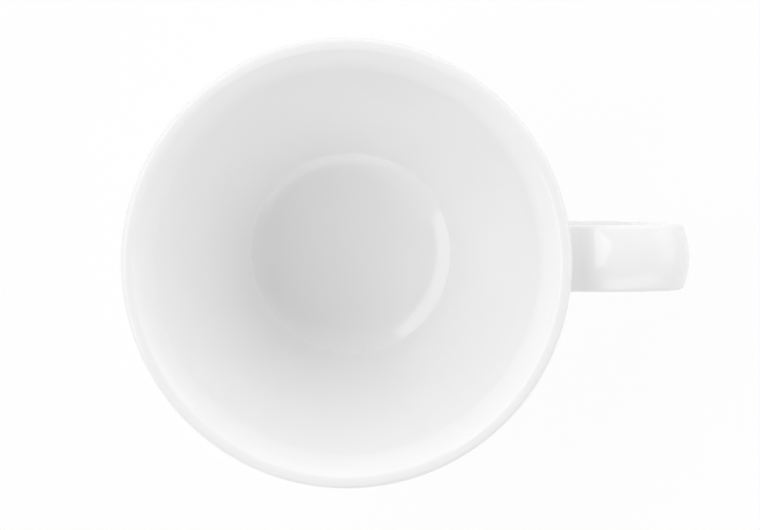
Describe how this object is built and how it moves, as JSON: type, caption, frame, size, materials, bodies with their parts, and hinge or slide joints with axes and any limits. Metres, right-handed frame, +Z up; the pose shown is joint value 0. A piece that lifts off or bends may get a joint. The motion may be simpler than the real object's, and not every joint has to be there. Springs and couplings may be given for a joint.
{
  "type": "cafe au lait cup",
  "caption": "Glazed white porcelain cup for milky coffee: conical bowl with rounded lip on a foot ring, and an arched, crowned strap handle stuck on with slip.",
  "frame": {"origin": "on the standing plane, below the middle of the cup's whole length from rim to handle; the bowl's axis is at x = -0.0147", "axes": "+X from the bowl to the handle, +Y across the handle, +Z up"},
  "size_m": [0.1374, 0.108, 0.072],
  "materials": {
    "bowl_glaze": "clear gloss glaze over white porcelain, with a bare standing ring",
    "handle_glaze": "clear gloss glaze over white porcelain",
    "slip_glaze": "clear gloss glaze over fired slip"
  },
  "bodies": {
    "root": {"bowl": "bowl_glaze", "handle": "handle_glaze", "upper_slip_joint": "slip_glaze", "lower_slip_joint": "slip_glaze"}
  },
  "joints": []
}
